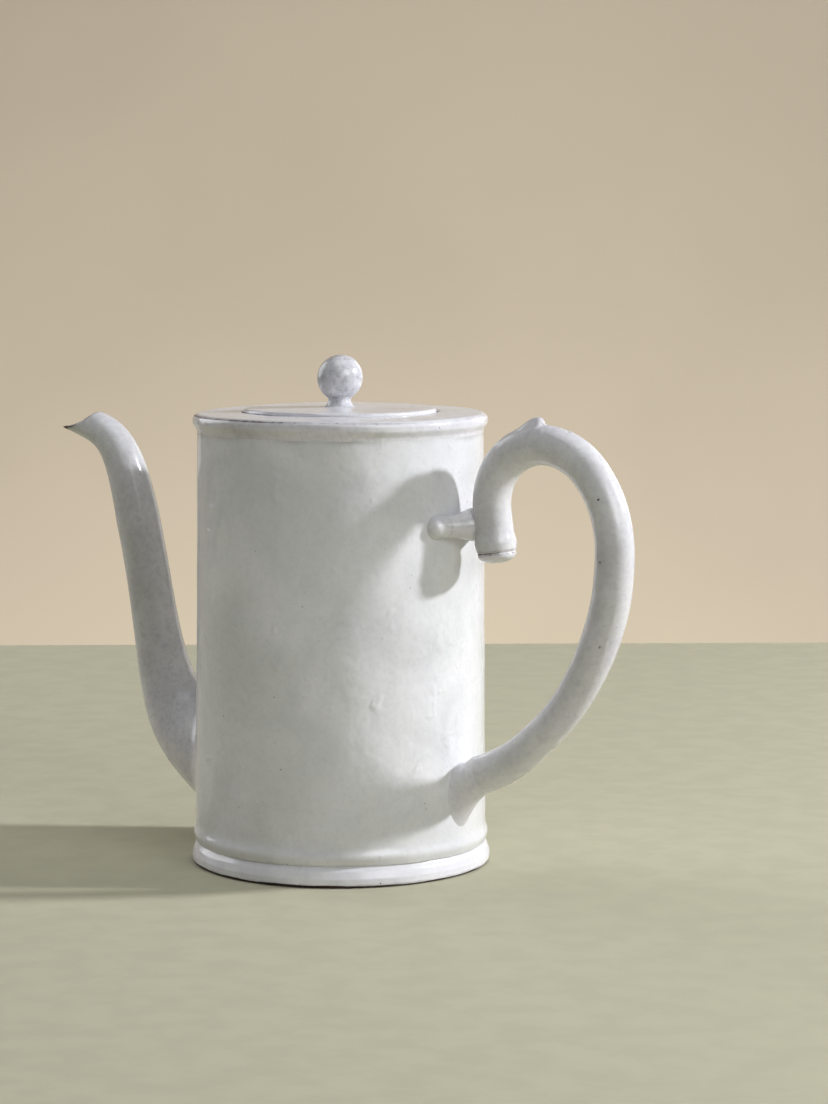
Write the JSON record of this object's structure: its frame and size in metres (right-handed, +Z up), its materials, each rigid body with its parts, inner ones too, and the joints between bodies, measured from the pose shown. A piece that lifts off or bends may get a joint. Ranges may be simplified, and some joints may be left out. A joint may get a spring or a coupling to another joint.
{
  "type": "coffee pot",
  "caption": "Hand-built glazed stoneware coffee pot with a straight body, tall spout, looped coil handle and lift-off knobbed lid.",
  "frame": {"origin": "centre of the circle that the foot ring stands on", "axes": "+Z up along the pot's axis, +X from the axis to the handle, -X to the spout"},
  "size_m": [0.2764, 0.12, 0.2031],
  "materials": {
    "wall_glaze": "glossy milky white glaze over dark clay",
    "foot_glaze": "glossy milky glaze, wiped to bare dark clay where it stands",
    "shoulder_glaze": "glossy milky white glaze, thin and grey at the edges",
    "spout_glaze": "glossy milky white glaze, bare dark clay at the lip",
    "handle_glaze": "glossy milky glaze with pinholes and lilac-grey thin spots",
    "lid_glaze": "glossy milky white glaze",
    "knob_glaze": "glossy milky white glaze, pitted at the stem",
    "bare_clay": "unglazed dark brown stoneware, dry and slightly rough"
  },
  "bodies": {
    "pot": {"body_wall": "wall_glaze", "base_disc": "bare_clay", "foot_ring": "foot_glaze", "shoulder": "shoulder_glaze", "spout": "spout_glaze", "handle_coil": "handle_glaze", "handle_root": "handle_glaze", "handle_saddle": "handle_glaze", "scroll_cap": "handle_glaze", "thumb_rest": "handle_glaze"},
    "lid": {"lid_disc": "lid_glaze", "lid_flange": "bare_clay", "knob_stem": "knob_glaze", "knob": "knob_glaze"}
  },
  "joints": [
    {"name": "lid_lift", "type": "slide", "parent": "pot", "child": "lid", "axis": [0, 0, 1], "range_m": [0, 0.06]}
  ]
}
